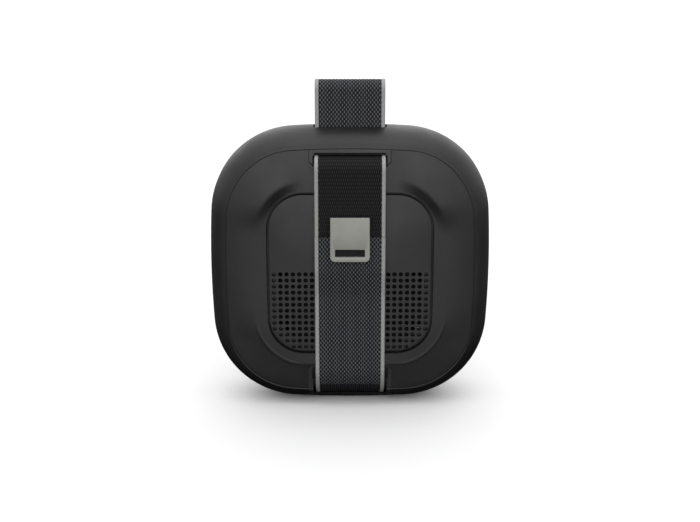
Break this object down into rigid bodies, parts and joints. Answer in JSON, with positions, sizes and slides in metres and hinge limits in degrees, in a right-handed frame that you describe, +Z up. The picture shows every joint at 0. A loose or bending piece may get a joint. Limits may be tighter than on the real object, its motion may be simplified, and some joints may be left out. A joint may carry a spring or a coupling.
{
  "type": "portable speaker",
  "caption": "Rugged pocket speaker with a soft rounded jacket, a woven back strap closed by a hook, a hanging loop, sprung keys and a sealed charging port flap.",
  "frame": {"origin": "on the floor plane under the middle of the whole object's box, hook and strap included", "axes": "+Z up, +Y towards the front grille, so the strapped back faces -Y; +X to the right when looking at the back"},
  "size_m": [0.0984, 0.0348, 0.1138],
  "materials": {
    "jacket": "matte soft-touch silicone",
    "keys": "matte moulded rubber",
    "back_shell": "satin soft-touch over hard plastic",
    "vent": "fine matte",
    "grille": "matte powder coat",
    "cloth": "fine acoustic weave",
    "housing": "matte moulded",
    "bezel": "fine matte",
    "gasket": "matte",
    "tail_weave": "fine black weave",
    "coarse_weave": "coarse grey and black twill",
    "trim": "smooth satin edge",
    "hook": "satin warm grey",
    "hardware": "brushed",
    "basket": "satin black",
    "magnet_iron": "zinc plated",
    "coil": "enamelled copper",
    "spider_cloth": "resin-treated cloth",
    "cone": "treated paper",
    "radiator_plate": "satin",
    "battery_wrap": "heat-shrink film",
    "board": "solder mask",
    "chips": "moulded",
    "contacts": "nickel plated",
    "light_guide": "translucent"
  },
  "bodies": {
    "speaker": {"silicone_jacket": "jacket", "inner_housing": "housing", "rear_plate": "back_shell", "vent_panel": "vent", "vent_mesh": "cloth", "rear_gasket": "gasket", "baffle_gasket": "gasket", "front_baffle": "housing", "front_grille": "grille", "front_mesh": "cloth", "radiator_carrier": "housing", "rear_radiator_surround": "gasket", "front_radiator_surround": "gasket", "driver_basket": "basket", "driver_yoke": "magnet_iron", "driver_magnet": "magnet_iron", "driver_top_plate": "magnet_iron", "driver_spider": "spider_cloth", "driver_surround": "gasket", "battery_pack": "battery_wrap", "battery_tray": "housing", "main_board": "board", "board_chips": "chips", "charge_board": "board", "charging_socket": "contacts", "button_board": "board", "side_button_board": "board", "dome_switches": "contacts", "microphone": "contacts", "light_pipes": "light_guide", "case_screws": "hardware", "tail_bar": "hardware", "loop_bar": "hardware", "bottom_strap_bar": "hardware", "top_slot_bezel": "bezel", "bottom_slot_bezel": "bezel", "tail_root": "tail_weave", "lower_root": "coarse_weave", "loop_root": "coarse_weave"},
    "strap": {"lower_webbing": "coarse_weave", "lower_trims": "trim", "hook_pin": "hardware"},
    "tail": {"tail_webbing": "tail_weave", "tail_trims": "trim", "catch_bar": "hardware"},
    "hook": {"hook_tab": "hook"},
    "loop": {"loop_webbing": "coarse_weave", "loop_trims": "trim"},
    "cone": {"voice_coil": "coil", "driver_cone": "cone", "driver_dust_cap": "cone"},
    "front_radiator": {"front_radiator_plate": "radiator_plate"},
    "rear_radiator": {"rear_radiator_plate": "radiator_plate"},
    "flap": {"port_flap": "jacket"},
    "volume_down": {"volume_down_button": "keys"},
    "play": {"play_button": "keys"},
    "volume_up": {"volume_up_button": "keys"},
    "power": {"power_button": "keys"},
    "pairing": {"pairing_button": "keys"}
  },
  "joints": [
    {"name": "strap_open", "type": "hinge", "parent": "speaker", "child": "strap", "pos_m": [0, -0.01416, 0.0079], "axis": [1, 0, 0], "range_deg": [0, 85]},
    {"name": "tail_lift", "type": "hinge", "parent": "speaker", "child": "tail", "pos_m": [0, -0.01465, 0.08615], "axis": [-1, 0, 0], "range_deg": [0, 24]},
    {"name": "hook_pivot", "type": "hinge", "parent": "strap", "child": "hook", "pos_m": [0, -0.0169, 0.05515], "axis": [1, 0, 0], "range_deg": [0, 15]},
    {"name": "loop_fold", "type": "hinge", "parent": "speaker", "child": "loop", "pos_m": [0, 0.0024, 0.0969], "axis": [1, 0, 0], "range_deg": [-20, 20], "stiffness_Nm_per_rad": 0.004},
    {"name": "cone_travel", "type": "slide", "parent": "speaker", "child": "cone", "axis": [0, 1, 0], "range_m": [-0.002, 0.002], "stiffness_N_per_m": 1500},
    {"name": "front_radiator_travel", "type": "slide", "parent": "speaker", "child": "front_radiator", "axis": [0, 1, 0], "range_m": [-0.0025, 0.0025], "stiffness_N_per_m": 800},
    {"name": "rear_radiator_travel", "type": "slide", "parent": "speaker", "child": "rear_radiator", "axis": [0, -1, 0], "range_m": [-0.0025, 0.0025], "stiffness_N_per_m": 800},
    {"name": "port_flap_hinge", "type": "hinge", "parent": "speaker", "child": "flap", "pos_m": [-0.04815, 0.0065, 0.02715], "axis": [0, -1, 0], "range_deg": [0, 95], "stiffness_Nm_per_rad": 0.001, "springref_deg": -2.86},
    {"name": "volume_down_press", "type": "slide", "parent": "speaker", "child": "volume_down", "axis": [0, -0.7278, -0.6858], "range_m": [0, 0.0005], "stiffness_N_per_m": 1000, "springref_m": -0.0003},
    {"name": "play_press", "type": "slide", "parent": "speaker", "child": "play", "axis": [0, -0.7278, -0.6858], "range_m": [0, 0.0005], "stiffness_N_per_m": 1000, "springref_m": -0.0003},
    {"name": "volume_up_press", "type": "slide", "parent": "speaker", "child": "volume_up", "axis": [0, -0.7278, -0.6858], "range_m": [0, 0.0005], "stiffness_N_per_m": 1000, "springref_m": -0.0003},
    {"name": "power_press", "type": "slide", "parent": "speaker", "child": "power", "axis": [0.6858, -0.7278, 0], "range_m": [0, 0.0005], "stiffness_N_per_m": 1000, "springref_m": -0.0003},
    {"name": "pairing_press", "type": "slide", "parent": "speaker", "child": "pairing", "axis": [0.6858, -0.7278, 0], "range_m": [0, 0.0005], "stiffness_N_per_m": 1000, "springref_m": -0.0003}
  ],
  "couplings": [
    {"joint": "tail_lift", "follows": "strap_open", "ratio": 0.28},
    {"joint": "rear_radiator_travel", "follows": "front_radiator_travel", "ratio": 1}
  ]
}
